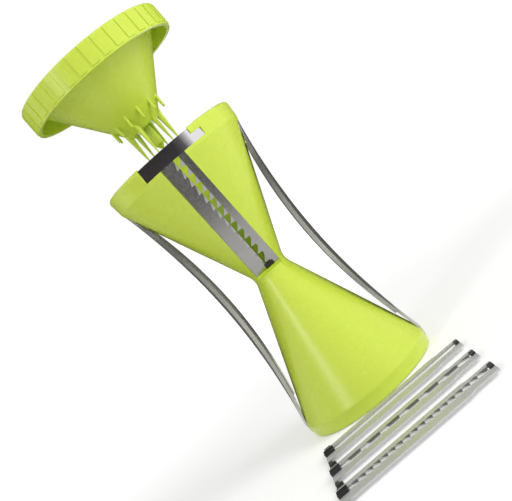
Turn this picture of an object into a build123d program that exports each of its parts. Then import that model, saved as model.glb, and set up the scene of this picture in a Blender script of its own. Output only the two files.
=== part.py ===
from build123d import *
import os
from math import atan, cos, hypot, sin

# Hand spiral slicer, in millimetres: an hourglass shell with a funnel at each end, a slotted front
# that takes one of four blade inserts, and a vegetable holder that is turned by hand. +Z runs up
# its axis, the origin is the centre of the foot's lower edge and the slot faces -Y. The holder is
# drawn lifted off the funnel, and the three spare inserts lie flat in front of the foot.

# Hourglass shell
body_height = 142.7
mouth_radius = 35.4  # at the very top
mouth_band_radius = 34.6  # where the upright band meets the funnel
mouth_band_height = 8.7
foot_radius = 33.9  # at the very bottom
foot_band_radius = 34.6
foot_band_height = 6.3
waist_radius = 9.0
waist_height = 72.0
waist_blend = 8.0
band_blend = 1.5
rim_rounding = 1.8
foot_rounding = 1.0
wall = 2.0
rim_wall = 2.5
floor_drop = 0.3  # the funnel's floor lies this far below the waist
floor_thickness = 2.6

# Notch in the rim with its steel band and the tab that keeps the band in
notch_left_angle = 25.0
notch_right_angle = 32.0
notch_depth = 7.4
band_recess = 1.0
band_thickness = 0.8
band_height = 6.6
band_seat_angle = 4.0
tab_angle = 8.7
tab_height = 3.7

# Steel grip bows on both sides
bow_thickness = 0.8
bow_end_width = 12.0
bow_middle_width = 20.0
bow_middle_radius = 27.5
bow_middle_height = 70.0
bow_cover = 0.4  # plastic outside the upper tongue
bow_tongue = 5.0
bow_stand = 0.3  # how far the lower end stands out of the foot band
bow_foot_height = 3.2
bow_hook = 2.7
bow_hem_width = 2.2  # the long edges are folded back on the inside
bow_hem_thickness = 0.9
bow_hem_margin = 12.0  # flat stretch at both ends of the fold
bow_sweep_angle = 120.0  # the strips are cut from a turned piece this wide

# Slot, channel and the way the insert leans in them
slot_width = 13.4
channel_width = 19.6
channel_back = 2.5
insert_clearance = 0.2
insert_foot_inset = 3.2
insert_head_inset = 4.4
insert_foot_rise = 1.2
insert_head_drop = 2.0

# Insert: two thin strips held by a clip at the mouth end and a foot at the waist end
insert_half = 8.0
narrow_half = 6.57
narrow_length = 10.9
shoulder_length = 2.3
strip_thickness = 0.8
blade_set = 0.5  # the slicing blade lies this far behind the comb strip
blade_edge = 0.2  # how far the cutting edge reaches past the middle
gap_width = 3.0
clip_half = 13.0
clip_bar = 1.5
clip_hook_width = 1.7
clip_hook_length = 1.7
clip_rounding = 0.6
clip_depth = 2.4
clip_block_low = 0.8
clip_block_high = 4.1
clip_block_length = 4.7
clip_block_rise = 0.5
clip_ridge_width = 0.7
clip_ridge_height = 0.35
foot_block_low = 0.6
foot_block_high = 4.0
foot_block_length = 2.0
foot_block_rise = 0.3
foot_split_place = 2.1
foot_split = 0.3  # width and depth of the line across the foot

# Teeth of the combs, and the patches ground into the blades opposite them. Places are counted from
# the waist end; bases and ground lengths lie along the edges, tips and ground feet away from them.
tooth_height = 2.2
lead_start = 2.65
lead_ground_start = 2.9
lead_ground_depth = 1.0
ground_cut = 0.65  # how deep the grinding goes into the strip at the edge
tooth_cut = 0.45  # how much the teeth are ground down towards their tips

medium_first = 8.1
medium_pitch = 4.87
medium_base = 3.4
medium_tip = 0.4
medium_lead_base = 4.2
medium_lead_tip = 0.4
medium_ground = 4.2
medium_ground_foot = 0.5
medium_ground_depth = 1.35
medium_lead_ground = 4.4

wide_first = 8.5
wide_pitch = 9.75
wide_base = 6.6
wide_tip = 5.2
wide_lead_base = 4.2
wide_lead_tip = 0.4
wide_ground = 8.3
wide_ground_foot = 7.0
wide_ground_depth = 1.8
wide_lead_ground = 4.9

fine_first = 7.3
fine_pitch = 3.47
fine_base = 2.7
fine_tip = 0.4
fine_lead_base = 3.7
fine_lead_tip = 1.3
fine_ground = 3.0
fine_ground_foot = 0.4
fine_ground_depth = 1.2
fine_lead_ground = 3.6

plain_ground_start = 3.3
plain_ground_stop = 6.0  # from the mouth end
plain_ground_depth = 1.35

# Holder: ribbed cap, cone with short spikes, ring of prongs and a plain pin
holder_lift = 43.3
holder_overlap = 1.0  # how far the cap's skirt covers the rim when it is down
skirt_clearance = 1.4
skirt_wall = 2.2
cap_height = 12.0
cap_top = 2.4
cap_rounding = 1.5
cap_recesses = 36
cap_recess_width = 3.06
cap_recess_depth = 0.4
cap_lip_height = 1.0
cap_lip_inset = 0.4
cone_gap = 1.9  # between the cone's top and the skirt
cone_length = 34.3
cone_end_radius = 10.2
cone_wall = 2.0
cone_end_wall = 3.0
spike_count = 12
spike_radius = 13.3
spike_root_radius = 0.8
spike_tip_radius = 0.5
spike_rounding = 0.35
spike_reach = 0.8  # below the cone's end
ring_length = 3.1
ring_sleeve_radius = 8.2
ring_bore = 6.0
web_thickness = 2.0
prong_count = 6
prong_phase = 13.5
prong_length = 17.0
prong_ridge_radius = 10.4
prong_shoulder_radius = 9.0
prong_shoulder_half = 1.25
prong_inner_radius = 7.2
prong_inner_half = 1.1
prong_tip_radius = 8.7
tip_scale = 0.12
pin_radius = 2.3
pin_fit = 0.05
pin_length = 14.4
pin_point = 3.0
pin_head_radius = 5.0
pin_head_height = 2.0
pin_head_gap = 0.1

# Spare inserts on the table
spare_start_gap = 3.4
spare_gap = 2.0
spare_end = 40.0

# Sizes that follow from those above
notch_floor = body_height - notch_depth
mouth_band_low = body_height - mouth_band_height
funnel_length = mouth_band_low - waist_height
base_length = waist_height - foot_band_height
half_turn = (atan((mouth_band_radius - waist_radius) / funnel_length)
             + atan((foot_band_radius - waist_radius) / base_length)) / 2
waist_corner = waist_radius - waist_blend * (1 / cos(half_turn) - 1)
funnel_slope = (mouth_band_radius - waist_corner) / funnel_length
base_slope = (foot_band_radius - waist_corner) / base_length
funnel_wall = wall * hypot(1, funnel_slope)
base_wall = wall * hypot(1, base_slope)
floor_height = waist_height - floor_drop
hollow_top = floor_height - floor_thickness

foot_depth = waist_radius - insert_foot_inset
foot_height = waist_height + insert_foot_rise
head_depth = mouth_radius - insert_head_inset
head_height = body_height - insert_head_drop
insert_tilt = atan((head_depth - foot_depth) / (head_height - foot_height))
insert_length = hypot(head_depth - foot_depth, head_height - foot_height)
insert_place = Plane(origin=(0, -foot_depth, foot_height), x_dir=(1, 0, 0),
                     z_dir=(0, -cos(insert_tilt), -sin(insert_tilt))).location
comb_edge = blade_edge + gap_width
blade_front = -blade_set
blade_back = -blade_set - strip_thickness

skirt_inner = mouth_radius + skirt_clearance
cap_radius = skirt_inner + skirt_wall
cap_low = body_height - holder_overlap + holder_lift
cap_high = cap_low + cap_height
cap_under = cap_high - cap_top
cone_top_radius = skirt_inner - cone_gap
cone_end = cap_under - cone_length
cone_slope = (cone_top_radius - cone_end_radius) / cone_length
cone_shell = cone_wall * hypot(1, cone_slope)
ring_low = cone_end - ring_length
ring_end_radius = cone_end_radius - cone_slope * ring_length
web_high = ring_low + web_thickness
far = 4 * body_height


def turned(points, corners=()):
    """A solid of revolution from radius and height pairs, with some corners rounded."""
    outline = make_face(Polyline(*points, close=True))
    for corner, radius in corners:
        nearest = outline.vertices().sort_by_distance(Vector(*corner, 0))[0]
        outline = fillet(nearest, radius)
    return revolve(Plane.XZ * outline, Axis.Z, 360)


def block(x_span, y_span, z_span):
    """A box between three pairs of limits."""
    spans = (x_span, y_span, z_span)
    sizes = [high - low for low, high in spans]
    middle = [(high + low) / 2 for low, high in spans]
    return Pos(*middle) * Box(*sizes)


def ring_sector(inner, outer, low, high, start, end):
    """A piece of a flat ring between two angles, counted from the slot towards +X."""
    section = make_face(Polyline((inner, low), (outer, low), (outer, high), (inner, high), close=True))
    return Rot(0, 0, start - 90) * revolve(Plane.XZ * section, Axis.Z, end - start)


def hourglass():
    """The outside of the shell as a full body."""
    points = [(0, 0), (foot_radius, 0), (foot_band_radius, foot_band_height),
              (waist_corner, waist_height), (mouth_band_radius, mouth_band_low),
              (mouth_radius, body_height), (0, body_height)]
    corners = [(points[1], foot_rounding), (points[2], band_blend), (points[3], waist_blend),
               (points[4], band_blend), (points[5], rim_rounding)]
    return turned(points, corners)


def funnel_hollow():
    """The inside of the upper funnel, down to its floor."""
    floor_radius = waist_corner - funnel_wall
    return turned([(0, floor_height), (floor_radius, floor_height), (floor_radius, waist_height),
                   (mouth_band_radius - funnel_wall, mouth_band_low),
                   (mouth_radius - rim_wall, body_height),
                   (mouth_radius - rim_wall, 2 * body_height), (0, 2 * body_height)])


def foot_hollow():
    """The inside of the lower cone, open below."""
    foot_inner = foot_radius - wall
    meet = foot_band_height + (foot_band_radius - base_wall - foot_inner) / base_slope
    top_radius = waist_corner + base_slope * (waist_height - hollow_top) - base_wall
    return turned([(0, -body_height), (foot_inner, -body_height), (foot_inner, meet),
                   (top_radius, hollow_top), (0, hollow_top)])


def insert_groove():
    """The space of an insert with its clearance, open towards the mouth."""
    narrow = narrow_half + insert_clearance
    wide = insert_half + insert_clearance
    shoulder = narrow_length - insert_clearance
    right = [(narrow, -insert_clearance), (narrow, shoulder), (wide, shoulder + shoulder_length),
             (wide, 2 * insert_length)]
    left = [(-across, along) for across, along in reversed(right)]
    back = blade_back - insert_clearance
    face = make_face(Polyline(*right, *left, close=True))
    return Pos(0, 0, back) * extrude(face, insert_clearance - back)


def make_shell(band, bows):
    outside = hourglass()
    shell = outside - funnel_hollow()
    cheeks = insert_place * block((-channel_width / 2, channel_width / 2), (-far, far),
                                  (-channel_back, far))
    shell += outside & cheeks & block((-far, far), (-far, far), (floor_height, notch_floor))
    half_slot = slot_width / 2
    slot_front = insert_place * block((-half_slot, half_slot), (-far, far), (insert_clearance, far))
    slot_front &= block((-half_slot, half_slot), (-far, 0), (floor_height, far))
    slot_seat = insert_place * block((-half_slot, half_slot), (-insert_clearance, far),
                                     (-2 * channel_back, insert_clearance))
    shell -= slot_front
    shell -= slot_seat
    shell -= insert_place * insert_groove()
    notch = ring_sector(waist_radius, 2 * mouth_radius, notch_floor, 2 * body_height,
                        -notch_left_angle, notch_right_angle)
    tab = ring_sector(mouth_radius - band_recess, 3 * mouth_radius, body_height - tab_height,
                      3 * body_height, notch_right_angle - tab_angle, 2 * notch_right_angle)
    shell -= notch - tab
    shell -= foot_hollow()
    shell -= band
    for bow in bows:
        shell -= bow
    return shell


def make_band():
    outer = mouth_radius - band_recess
    return ring_sector(outer - band_thickness, outer, notch_floor, notch_floor + band_height,
                       -notch_left_angle - band_seat_angle, notch_right_angle + band_seat_angle)


def bow_side(inset):
    """The room between a bow's long edges, as a thick plate on the +X side."""
    low = foot_band_height + band_blend
    half_end = bow_end_width / 2 - inset
    half_middle = bow_middle_width / 2 - inset
    side = ThreePointArc((half_end, low), (half_middle, bow_middle_height), (half_end, mouth_band_low))
    side += Polyline((half_end, mouth_band_low), (half_end, body_height), (-half_end, body_height),
                     (-half_end, mouth_band_low))
    side += ThreePointArc((-half_end, mouth_band_low), (-half_middle, bow_middle_height),
                          (-half_end, low))
    side += Polyline((-half_end, low), (-half_end, 0), (half_end, 0), (half_end, low))
    return extrude(Plane.YZ * make_face(side), 2 * foot_band_radius)


def bow_sweep(edge):
    """A bow's section, turned about the body's axis so that it follows the shell's roundness."""
    sweep = revolve(Plane.XZ * make_face(edge), Axis.Z, bow_sweep_angle)
    return Rot(0, 0, -bow_sweep_angle / 2) * sweep


def make_bow():
    """A bent strip with folded long edges, on the +X side."""
    top_radius = mouth_band_radius - bow_cover
    low_radius = foot_band_radius + bow_stand
    low = foot_band_height + band_blend
    lean = (foot_band_radius - foot_radius) / foot_band_height
    end_radius = foot_radius + lean * bow_foot_height + bow_stand
    hook_radius = foot_radius - bow_hook + bow_thickness / 2
    outer_low = (low_radius, low)
    outer_mid = (bow_middle_radius, bow_middle_height)
    outer_high = (top_radius, mouth_band_low)
    inner_low = (low_radius - bow_thickness, low)
    inner_mid = (bow_middle_radius - bow_thickness, bow_middle_height)
    inner_high = (top_radius - bow_thickness, mouth_band_low)
    tongue_high = mouth_band_low + bow_tongue
    hook_high = bow_foot_height + bow_thickness
    edge = ThreePointArc(outer_low, outer_mid, outer_high)
    edge += Polyline(outer_high, (top_radius, tongue_high), (inner_high[0], tongue_high), inner_high)
    edge += ThreePointArc(inner_high, inner_mid, inner_low)
    edge += Polyline(inner_low, (end_radius - bow_thickness, hook_high), (hook_radius, hook_high),
                     (hook_radius, bow_foot_height), (end_radius, bow_foot_height), outer_low)
    hem_low, hem_mid, hem_high = [(radius - bow_hem_thickness, height)
                                  for radius, height in (inner_low, inner_mid, inner_high)]
    fold = ThreePointArc(inner_low, inner_mid, inner_high)
    fold += Line(inner_high, hem_high)
    fold += ThreePointArc(hem_high, hem_mid, hem_low)
    fold += Line(hem_low, inner_low)
    hems = bow_sweep(fold) & (bow_side(0) - bow_side(bow_hem_width))
    hems &= block((0, far), (-far, far), (low + bow_hem_margin, mouth_band_low - bow_hem_margin))
    return (bow_sweep(edge) & bow_side(0)) + hems


def strip_outline(edge):
    """Half of an insert's outline, from its inner edge out to +X, with the narrow waist end."""
    return make_face(Polyline((edge, 0), (narrow_half, 0), (narrow_half, narrow_length),
                              (insert_half, narrow_length + shoulder_length),
                              (insert_half, insert_length), (edge, insert_length), close=True))


def tooth_starts(first, pitch, base):
    """Where the teeth start: as many of them as fit below the clip's block."""
    room = insert_length - clip_block_length - first - base
    return [first + pitch * number for number in range(int(room / pitch) + 1)]


def tooth(start, base, flat):
    """One upright-backed tooth that hangs from the comb's edge into the gap."""
    tip = comb_edge - tooth_height
    return make_face(Polyline((comb_edge + strip_thickness, start), (tip, start), (tip, start + flat),
                              (comb_edge, start + base), (comb_edge + strip_thickness, start + base),
                              close=True))


def make_comb(lead, starts, base, flat):
    """A strip with a row of equal teeth behind a lead tooth, ground thinner towards their tips."""
    outline = strip_outline(comb_edge) + tooth(lead_start, *lead)
    for start in starts:
        outline += tooth(start, base, flat)
    tip = comb_edge - tooth_height
    slope = make_face(Polyline((comb_edge, 0), (tip, -tooth_cut), (tip, 0), close=True))
    ground = Pos(0, insert_length, 0) * extrude(Plane.XZ * slope, insert_length)
    return Pos(0, 0, -strip_thickness) * extrude(outline, strip_thickness) - ground


def make_guard():
    """The plain strip of the slicing insert, in the comb's place."""
    return Pos(0, 0, -strip_thickness) * extrude(strip_outline(comb_edge), strip_thickness)


def ground_patch(start, end, foot_start, foot_end, depth):
    """What grinding takes off the blade's front: a slope down to the edge, within four corners."""
    low = blade_edge - depth
    deep = blade_front - ground_cut
    past = blade_edge + strip_thickness
    slope = make_face(Polyline((low, blade_front), (past, blade_front), (past, deep),
                               (blade_edge, deep), close=True))
    plan = make_face(Polyline((low, foot_start), (blade_edge, start), (past, start), (past, end),
                              (blade_edge, end), (low, foot_end), close=True))
    wedge = Pos(0, end, 0) * extrude(Plane.XZ * slope, end - start)
    return wedge & Pos(0, 0, deep) * extrude(plan, 2 * ground_cut)


def make_blade(patches):
    blade = mirror(Pos(0, 0, blade_back) * extrude(strip_outline(-blade_edge), strip_thickness),
                   Plane.YZ)
    for patch in patches:
        blade -= ground_patch(*patch)
    return blade


def toothed_blade(lead_ground, starts, ground, foot, depth):
    """A blade that is ground in patches, one opposite each tooth of its comb."""
    patches = [(lead_ground_start, lead_ground_start + lead_ground, lead_ground_start,
                lead_ground_start + foot, lead_ground_depth)]
    for start in starts:
        patches.append((start, start + ground, start, start + foot, depth))
    return make_blade(patches)


def plain_blade():
    """A blade that is ground along almost all of its edge."""
    end = insert_length - plain_ground_stop
    return make_blade([(plain_ground_start, end, plain_ground_start + plain_ground_depth,
                        end - plain_ground_depth, plain_ground_depth)])


def make_clip(strips):
    """The clip at the mouth end: a bar with a hook at both ends and a ridged block."""
    high = insert_length
    bar_low = high - clip_bar
    hook_low = bar_low - clip_hook_length
    hook_inner = clip_half - clip_hook_width
    right = [(hook_inner, bar_low), (hook_inner, hook_low), (clip_half, hook_low), (clip_half, high)]
    left = [(-across, along) for across, along in reversed(right)]
    bar = make_face(Polyline(*right, *left, close=True))
    rows = bar.vertices().group_by(Axis.Y)
    bar = fillet(rows[0] + rows[-1], clip_rounding)
    clip = Pos(0, 0, -clip_depth) * extrude(bar, clip_depth - strip_thickness)
    clip += block((-clip_block_low, clip_block_high), (high - clip_block_length, high),
                  (-clip_depth, clip_block_rise))
    ridge_room = clip_block_low + clip_block_high - clip_ridge_width
    for step in range(3):
        start = -clip_block_low + ridge_room * step / 2
        clip += block((start, start + clip_ridge_width), (high - clip_block_length, high),
                      (clip_block_rise, clip_block_rise + clip_ridge_height))
    for strip in strips:
        clip -= strip
    return clip


def make_foot(strips):
    """The foot at the waist end, with a fine line across it."""
    foot = block((-foot_block_low, foot_block_high), (0, foot_block_length),
                 (-clip_depth, foot_block_rise))
    foot -= block((foot_split_place - foot_split / 2, foot_split_place + foot_split / 2),
                  (-foot_block_length, 2 * foot_block_length),
                  (foot_block_rise - foot_split, 2 * foot_block_rise))
    for strip in strips:
        foot -= strip
    return foot


def taper(low_points, low, high_points, high):
    """A spike between two small outlines at two heights."""
    low_face = Pos(0, 0, low) * make_face(Polyline(*low_points, close=True))
    high_face = Pos(0, 0, high) * make_face(Polyline(*high_points, close=True))
    return loft([low_face, high_face], ruled=True)


def prong_outline(scale):
    """Section of a prong with its ridge outward, shrunk about the place of its tip."""
    points = [(prong_ridge_radius, 0), (prong_shoulder_radius, prong_shoulder_half),
              (prong_inner_radius, prong_inner_half), (prong_inner_radius, -prong_inner_half),
              (prong_shoulder_radius, -prong_shoulder_half)]
    return [(prong_tip_radius + (x - prong_tip_radius) * scale, y * scale) for x, y in points]


def make_cap():
    lip_high = cap_low + cap_lip_height
    cap = turned([(0, lip_high), (cap_radius, lip_high), (cap_radius, cap_high), (0, cap_high)],
                 [((cap_radius, cap_high), cap_rounding)])
    recess = block((cap_radius - cap_recess_depth, 2 * cap_radius),
                   (-cap_recess_width / 2, cap_recess_width / 2), (lip_high, 2 * cap_high))
    cap -= [place * recess for place in PolarLocations(0, cap_recesses)]
    lip = turned([(0, cap_low), (cap_radius - cap_lip_inset, cap_low),
                  (cap_radius - cap_lip_inset, lip_high), (0, lip_high)])
    inside = turned([(0, cap_low - cap_height), (skirt_inner, cap_low - cap_height),
                     (skirt_inner, cap_under), (0, cap_under)])
    return cap + lip - inside


def make_cone():
    end_inner = cone_end_radius + cone_slope * cone_end_wall - cone_shell
    cone = turned([(ring_sleeve_radius, cone_end), (cone_end_radius, cone_end),
                   (cone_top_radius, cap_under), (cone_top_radius - cone_shell, cap_under),
                   (end_inner, cone_end + cone_end_wall),
                   (ring_sleeve_radius, cone_end + cone_end_wall)])
    root = cone_end + (spike_radius + spike_root_radius - cone_end_radius) / cone_slope
    tip = cone_end - spike_reach
    spike = turned([(0, tip), (spike_tip_radius, tip), (spike_root_radius, root), (0, root)],
                   [((spike_tip_radius, tip), spike_rounding)])
    for number in range(spike_count):
        cone += Rot(0, 0, prong_phase + 360 / spike_count * number) * Pos(spike_radius, 0, 0) * spike
    return cone


def make_prongs():
    ring = turned([(ring_bore, ring_low), (ring_end_radius, ring_low), (cone_end_radius, cone_end),
                   (ring_sleeve_radius, cone_end), (ring_sleeve_radius, cone_end + cone_end_wall),
                   (ring_bore, cone_end + cone_end_wall)])
    web_radius = (ring_bore + ring_end_radius) / 2
    ring += turned([(pin_radius + pin_fit, ring_low), (web_radius, ring_low), (web_radius, web_high),
                    (pin_radius + pin_fit, web_high)])
    prong = taper(prong_outline(tip_scale), cone_end - prong_length, prong_outline(1), cone_end)
    for number in range(prong_count):
        ring += Rot(0, 0, prong_phase + 360 / prong_count * number) * prong
    return ring


def make_pin():
    head_low = web_high + pin_head_gap
    tip = web_high - pin_length
    return turned([(0, tip), (pin_radius * tip_scale, tip), (pin_radius, tip + pin_point),
                   (pin_radius, head_low), (pin_head_radius, head_low),
                   (pin_head_radius, head_low + pin_head_height), (0, head_low + pin_head_height)])


band = make_band()
bow_right = make_bow()
bow_left = Rot(0, 0, 180) * bow_right
pieces = {
    "body_shell": make_shell(band, (bow_left, bow_right)),
    "mouth_band": band,
    "grip_bow_left": bow_left,
    "grip_bow_right": bow_right,
    "centre_pin": make_pin(),
    "holder_cap": make_cap(),
    "holder_cone": make_cone(),
    "holder_prongs": make_prongs(),
}

medium_starts = tooth_starts(medium_first, medium_pitch, medium_base)
wide_starts = tooth_starts(wide_first, wide_pitch, wide_base)
fine_starts = tooth_starts(fine_first, fine_pitch, fine_base)
medium_comb = make_comb((medium_lead_base, medium_lead_tip), medium_starts, medium_base, medium_tip)
wide_comb = make_comb((wide_lead_base, wide_lead_tip), wide_starts, wide_base, wide_tip)
fine_comb = make_comb((fine_lead_base, fine_lead_tip), fine_starts, fine_base, fine_tip)
medium_blade = toothed_blade(medium_lead_ground, medium_starts, medium_ground, medium_ground_foot,
                             medium_ground_depth)
wide_blade = toothed_blade(wide_lead_ground, wide_starts, wide_ground, wide_ground_foot,
                           wide_ground_depth)
fine_blade = toothed_blade(fine_lead_ground, fine_starts, fine_ground, fine_ground_foot,
                           fine_ground_depth)

spare_spots = []
for row in range(3):
    across = foot_band_radius + spare_start_gap + clip_half + row * (2 * clip_half + spare_gap)
    spare_spots.append(Plane(origin=(spare_end, -across, clip_depth), x_dir=(0, 1, 0),
                             z_dir=(0, 0, 1)).location)

inserts = [
    ("fitted", medium_blade, "comb", medium_comb, insert_place),
    ("plain", plain_blade(), "guard", make_guard(), spare_spots[0]),
    ("wide", wide_blade, "comb", wide_comb, spare_spots[1]),
    ("fine", fine_blade, "comb", fine_comb, spare_spots[2]),
]
for name, blade, strip_name, strip, place in inserts:
    strips = (blade, strip)
    pieces[name + "_blade"] = place * blade
    pieces[name + "_" + strip_name] = place * strip
    pieces[name + "_clip"] = place * make_clip(strips)
    pieces[name + "_foot"] = place * make_foot(strips)

os.makedirs("parts", exist_ok=True)
for name, piece in pieces.items():
    export_step(piece, "parts/" + name + ".step")
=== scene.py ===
from math import cos, radians, sin

import bpy
from mathutils import Matrix, Vector

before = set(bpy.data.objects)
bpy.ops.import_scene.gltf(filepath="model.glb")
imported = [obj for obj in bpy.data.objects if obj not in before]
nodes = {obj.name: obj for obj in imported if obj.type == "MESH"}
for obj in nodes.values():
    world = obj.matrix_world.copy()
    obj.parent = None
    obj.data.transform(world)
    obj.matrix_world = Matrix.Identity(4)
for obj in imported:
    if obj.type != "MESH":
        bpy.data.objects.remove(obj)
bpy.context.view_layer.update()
scene = bpy.context.scene

INSERT_TILT = radians(20.47)  # how far the fitted insert leans from upright
FLOOR_HALF = 4.0
FLOOR_DROP = 0.0002  # the floor lies this far below the foot
CARD_LIFT = 0.001  # the lying cards lie this far above the foot's plane
WORLD_LIGHT = 0.56  # the world as a lamp
WORLD_WHITE = 1.0  # the world as the camera and reflections see it
AIM = (0, 0, 0.08)  # what the lamps point at


# ---------------------------------------------------------------- nodes
def empty_tree(owner):
    """Switches a material or world to nodes and clears them."""
    owner.use_nodes = True
    owner.node_tree.nodes.clear()
    return owner.node_tree


def new_material(name):
    """An empty node material with a Principled shader; returns the material, its tree and shader."""
    mat = bpy.data.materials.new(name)
    tree = empty_tree(mat)
    out = tree.nodes.new("ShaderNodeOutputMaterial")
    shader = tree.nodes.new("ShaderNodeBsdfPrincipled")
    tree.links.new(shader.outputs["BSDF"], out.inputs["Surface"])
    return mat, tree, shader


def coords(tree, scale=(1, 1, 1), turn=(0, 0, 0)):
    """Object coordinates, turned and stretched."""
    where = tree.nodes.new("ShaderNodeTexCoord")
    place = tree.nodes.new("ShaderNodeMapping")
    place.inputs["Scale"].default_value = scale
    place.inputs["Rotation"].default_value = turn
    tree.links.new(where.outputs["Object"], place.inputs["Vector"])
    return place.outputs["Vector"]


def noise(tree, vector, scale, detail=3.0, rough=0.5):
    node = tree.nodes.new("ShaderNodeTexNoise")
    node.inputs["Scale"].default_value = scale
    node.inputs["Detail"].default_value = detail
    node.inputs["Roughness"].default_value = rough
    tree.links.new(vector, node.inputs["Vector"])
    return node.outputs["Fac"]


def ramp(tree, value, stops):
    """A colour ramp; each stop is a position and a grey level or a colour."""
    node = tree.nodes.new("ShaderNodeValToRGB")
    while len(node.color_ramp.elements) < len(stops):
        node.color_ramp.elements.new(0.5)
    for element, (at, colour) in zip(node.color_ramp.elements, stops):
        element.position = at
        if not isinstance(colour, tuple):
            colour = (colour, colour, colour)
        element.color = (*colour, 1)
    tree.links.new(value, node.inputs["Fac"])
    return node.outputs["Color"]


def bump(tree, shader, height, strength, distance):
    node = tree.nodes.new("ShaderNodeBump")
    node.inputs["Strength"].default_value = strength
    node.inputs["Distance"].default_value = distance
    tree.links.new(height, node.inputs["Height"])
    tree.links.new(node.outputs["Normal"], shader.inputs["Normal"])


def maths(tree, operation, *values):
    node = tree.nodes.new("ShaderNodeMath")
    node.operation = operation
    for value, socket in zip(values, node.inputs):
        tree.links.new(value, socket)
    return node.outputs[0]


def seen_or_mirrored(tree, out, light, seen):
    """Gives the output the seen shader for camera and glossy rays and the light shader for others."""
    path = tree.nodes.new("ShaderNodeLightPath")
    either = maths(tree, "MAXIMUM", path.outputs["Is Camera Ray"], path.outputs["Is Glossy Ray"])
    mix = tree.nodes.new("ShaderNodeMixShader")
    tree.links.new(either, mix.inputs["Fac"])
    tree.links.new(light, mix.inputs[1])
    tree.links.new(seen, mix.inputs[2])
    tree.links.new(mix.outputs[0], out.inputs["Surface"])


# ---------------------------------------------------------------- materials
def lime_plastic():
    mat, tree, shader = new_material("lime_abs")
    place = coords(tree)
    tone = ramp(tree, noise(tree, place, 22.0, 2.0),
                [(0.3, (0.612, 0.752, 0.068)), (0.7, (0.625, 0.765, 0.074))])
    tree.links.new(tone, shader.inputs["Base Color"])
    polish = ramp(tree, noise(tree, place, 160.0, 4.0), [(0.3, 0.26), (0.75, 0.29)])
    tree.links.new(polish, shader.inputs["Roughness"])
    shader.inputs["Subsurface Weight"].default_value = 0.12
    shader.inputs["Subsurface Radius"].default_value = (1.0, 1.0, 0.25)
    shader.inputs["Subsurface Scale"].default_value = 0.0015
    shader.inputs["IOR"].default_value = 1.5
    bump(tree, shader, noise(tree, place, 900.0, 3.0), 0.02, 0.0002)
    return mat


def steel(name, tint, rough, grain, relief, turn=(0, 0, 0), flat=None, painted_slope_shade=1.0, metallic=1.0):
    """Stainless strip with fine grinding lines along each axis that has a small grain. With a flat
    direction, faces that slope away from it are darkened as painted shade: their tone is multiplied
    by the given shade factor; the strip's edges, square to it, are not."""
    mat, tree, shader = new_material(name)
    lines = noise(tree, coords(tree, grain, turn), 60.0, 4.0, 0.6)
    tone = ramp(tree, lines, [(0.3, tuple(c * 0.95 for c in tint)), (0.7, tint)])
    # Painted shade: faces that slope away from the flat direction get their tone multiplied by the
    # given shade factor.
    if flat is not None:
        facing = tree.nodes.new("ShaderNodeTexCoord")
        slope = tree.nodes.new("ShaderNodeVectorMath")
        slope.operation = "DOT_PRODUCT"
        slope.inputs[1].default_value = flat
        tree.links.new(facing.outputs["Normal"], slope.inputs[0])
        shade = ramp(tree, maths(tree, "ABSOLUTE", slope.outputs["Value"]),
                     [(0.5, 1.0), (0.7, painted_slope_shade), (0.982, painted_slope_shade), (0.992, 1.0)])
        both = tree.nodes.new("ShaderNodeMix")
        both.data_type = "RGBA"
        both.blend_type = "MULTIPLY"
        both.inputs["Factor"].default_value = 1.0
        tree.links.new(tone, both.inputs[6])
        tree.links.new(shade, both.inputs[7])
        tone = both.outputs[2]
    tree.links.new(tone, shader.inputs["Base Color"])
    shader.inputs["Metallic"].default_value = metallic
    polish = ramp(tree, lines, [(0.3, rough * 0.9), (0.7, rough * 1.15)])
    tree.links.new(polish, shader.inputs["Roughness"])
    bump(tree, shader, lines, relief, 0.00005)
    return mat


def black_plastic():
    mat, tree, shader = new_material("black_clip")
    place = coords(tree)
    tone = ramp(tree, noise(tree, place, 90.0, 3.0),
                [(0.3, (0.012, 0.012, 0.013)), (0.7, (0.022, 0.022, 0.024))])
    tree.links.new(tone, shader.inputs["Base Color"])
    shader.inputs["Roughness"].default_value = 0.42
    bump(tree, shader, noise(tree, place, 1400.0, 3.0), 0.12, 0.0002)
    return mat


lime = lime_plastic()
black = black_plastic()
# The fitted and spare steels darken faces that slope away from their flat direction by a factor:
# painted shade.
fitted_steel = steel("fitted_blade_steel", (0.56, 0.55, 0.54), 0.22, (14, 0.05, 14), 0.05,
                     turn=(-INSERT_TILT, 0, 0),
                     flat=(0.0, -cos(INSERT_TILT), -sin(INSERT_TILT)), painted_slope_shade=0.7)
spare_steel = steel("spare_blade_steel", (0.66, 0.66, 0.655), 0.48, (0.05, 14, 14), 0.02,
                    flat=(0.0, 0.0, 1.0), painted_slope_shade=0.22, metallic=0.7)
band_metal = steel("mirror_band", (0.80, 0.79, 0.80), 0.07, (0.1, 0.1, 20), 0.02)
bow_metal = steel("bow_steel", (0.53, 0.53, 0.47), 0.24, (0.05, 14, 0.05), 0.02)
for name, node in nodes.items():
    if name.endswith(("_clip", "_foot")):
        chosen = black
    elif name == "mouth_band":
        chosen = band_metal
    elif name.startswith("grip_bow"):
        chosen = bow_metal
    elif name.startswith("fitted_"):
        chosen = fitted_steel
    elif name.startswith(("plain_", "wide_", "fine_")):
        chosen = spare_steel
    else:
        chosen = lime
    node.data.materials.clear()
    node.data.materials.append(chosen)


# ---------------------------------------------------------------- floor and world
def flat_sheet(name, corners, mat):
    """A stage sheet with four corners."""
    mesh = bpy.data.meshes.new(name)
    mesh.from_pydata(corners, [], [(0, 1, 2, 3)])
    mesh.materials.append(mat)
    sheet = bpy.data.objects.new(name, mesh)
    scene.collection.objects.link(sheet)
    return sheet


def lying(x_span, y_span, height):
    """The corners of a lying sheet."""
    (x0, x1), (y0, y1) = x_span, y_span
    return [(x0, y0, height), (x1, y0, height), (x1, y1, height), (x0, y1, height)]


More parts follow.
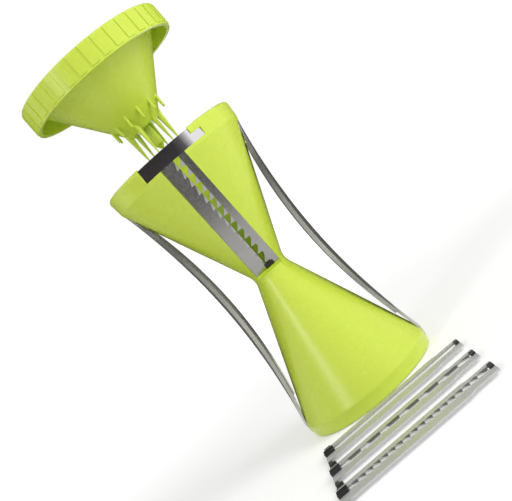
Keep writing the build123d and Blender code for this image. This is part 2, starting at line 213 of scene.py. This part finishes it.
def upright(x_span, y_span, z_span):
    """The corners of an upright sheet from one point on the floor to another."""
    (x0, x1), (y0, y1), (low, high) = x_span, y_span, z_span
    return [(x0, y0, low), (x1, y1, low), (x1, y1, high), (x0, y0, high)]


def floor_paper():
    """White paper: lit like any paper, and given a painted glow for the camera and for mirrors that
    grows whiter with distance, so that it meets the white background without a line."""
    mat = bpy.data.materials.new("floor_white")
    tree = empty_tree(mat)
    out = tree.nodes.new("ShaderNodeOutputMaterial")
    diffuse = tree.nodes.new("ShaderNodeBsdfDiffuse")
    diffuse.inputs["Color"].default_value = (0.82, 0.82, 0.82, 1)
    # Painted light: a glow that rises with distance from the origin.
    glow = tree.nodes.new("ShaderNodeEmission")
    away = tree.nodes.new("ShaderNodeVectorMath")
    away.operation = "LENGTH"
    tree.links.new(coords(tree), away.inputs[0])
    rise = tree.nodes.new("ShaderNodeMapRange")
    for label, value in (("From Min", 0.15), ("From Max", 0.75), ("To Min", 0.30), ("To Max", 0.75)):
        rise.inputs[label].default_value = value
    tree.links.new(away.outputs["Value"], rise.inputs["Value"])
    tree.links.new(rise.outputs["Result"], glow.inputs["Strength"])
    both = tree.nodes.new("ShaderNodeAddShader")
    tree.links.new(diffuse.outputs[0], both.inputs[0])
    tree.links.new(glow.outputs[0], both.inputs[1])
    seen_or_mirrored(tree, out, diffuse.outputs[0], both.outputs[0])
    return mat


def white_light(tree, strength):
    node = tree.nodes.new("ShaderNodeBackground")
    node.inputs["Color"].default_value = (1, 1, 1, 1)
    node.inputs["Strength"].default_value = strength
    return node.outputs[0]


floor_span = (-FLOOR_HALF, FLOOR_HALF)
flat_sheet("floor", lying(floor_span, floor_span, -FLOOR_DROP), floor_paper())
world = bpy.data.worlds.new("studio")
scene.world = world
world_tree = empty_tree(world)
seen_or_mirrored(world_tree, world_tree.nodes.new("ShaderNodeOutputWorld"),
                 white_light(world_tree, WORLD_LIGHT), white_light(world_tree, WORLD_WHITE))


# ---------------------------------------------------------------- cards and lamps
def card(name, corners, stops, along="X"):
    """A card that only reflections show, shaded along X or Y from its lowest end."""
    mat = bpy.data.materials.new(name)
    tree = empty_tree(mat)
    out = tree.nodes.new("ShaderNodeOutputMaterial")
    glow = tree.nodes.new("ShaderNodeEmission")
    where = tree.nodes.new("ShaderNodeTexCoord")
    parts = tree.nodes.new("ShaderNodeSeparateXYZ")
    tree.links.new(where.outputs["Generated"], parts.inputs[0])
    tree.links.new(ramp(tree, parts.outputs[along], stops), glow.inputs["Color"])
    tree.links.new(glow.outputs[0], out.inputs["Surface"])
    sheet = flat_sheet(name, corners, mat)
    sheet.visible_camera = False
    sheet.visible_diffuse = False
    sheet.visible_shadow = False


card("front_dark", upright((-1.1, 0.75), (-0.2, -0.873), (0.165, 0.30)),
     [(0.0, (0.09, 0.06, 0.055)), (0.25, (0.035, 0.028, 0.027)), (0.68, (0.04, 0.037, 0.04)),
      (0.80, (0.12, 0.11, 0.11)), (1.0, 0.85)])
card("front_grey", upright((-1.1, 0.55), (-0.2, -0.8), (0.0, 0.165)),
     [(0.0, 0.25), (0.6, 0.5), (1.0, 0.9)])
card("front_floor_dark", lying((-0.04, 0.04), (-0.36, -0.122), CARD_LIFT),
     [(0.0, 0.9), (0.25, 0.03), (0.7, 0.03), (0.9, 0.15), (1.0, 0.6)], "Y")
card("left_floor_dark", lying((-0.6, -0.07), (-0.05, 0.45), CARD_LIFT),
     [(0.0, 0.9), (0.5, 0.28), (1.0, 0.28)])
for side in (-1, 1):
    shades = [(0.0, 0.05), (0.5, 0.12), (1.0, 0.45)]
    if side < 0:
        shades = [(1 - at, grey) for at, grey in reversed(shades)]
    card("back_dark", upright((0.08 * side, 0.75 * side), (0.9, 0.35), (0.0, 0.6)), shades)
    card("back_floor_dark", lying((0.06 * side, 0.75 * side), (0.14, 0.9), CARD_LIFT),
         [(0.0, 0.12), (1.0, 0.12)])


def softbox(name, spot, size, power, shown=True):
    """A rectangular lamp; a lamp that isn't shown gives light but no reflection."""
    data = bpy.data.lights.new(name, "AREA")
    data.shape = "RECTANGLE"
    data.size, data.size_y = size
    data.energy = power
    lamp = bpy.data.objects.new(name, data)
    lamp.location = spot
    lamp.rotation_euler = (Vector(AIM) - Vector(spot)).to_track_quat("-Z", "Y").to_euler()
    lamp.visible_glossy = shown
    scene.collection.objects.link(lamp)


softbox("right_box", (0.905, -0.40, 0.22), (0.55, 0.40), 1.35, shown=False)
softbox("left_box", (-0.646, -0.602, 0.55), (0.20, 0.5), 1.6)
softbox("right_fill", (0.709, -0.497, 0.58), (0.5, 0.5), 4.0, shown=False)

# ---------------------------------------------------------------- camera
eye = Vector((0.0122, -0.4439, 0.1020))
target = Vector((0.0009, 0.0, 0.0824))
lean = Vector((0.6587, 0.0, 0.7524))  # the direction that points up in the picture
back = (eye - target).normalized()
right = lean.cross(back).normalized()
up = back.cross(right)
cam_data = bpy.data.cameras.new("camera")
cam_data.lens = 68.3
cam_data.sensor_width = 36.0
cam_data.sensor_fit = "HORIZONTAL"
cam_data.clip_start = 0.01
camera = bpy.data.objects.new("camera", cam_data)
camera.matrix_world = Matrix((
    (right.x, up.x, back.x, eye.x),
    (right.y, up.y, back.y, eye.y),
    (right.z, up.z, back.z, eye.z),
    (0, 0, 0, 1)))
scene.collection.objects.link(camera)
scene.camera = camera
scene.view_settings.view_transform = "Standard"
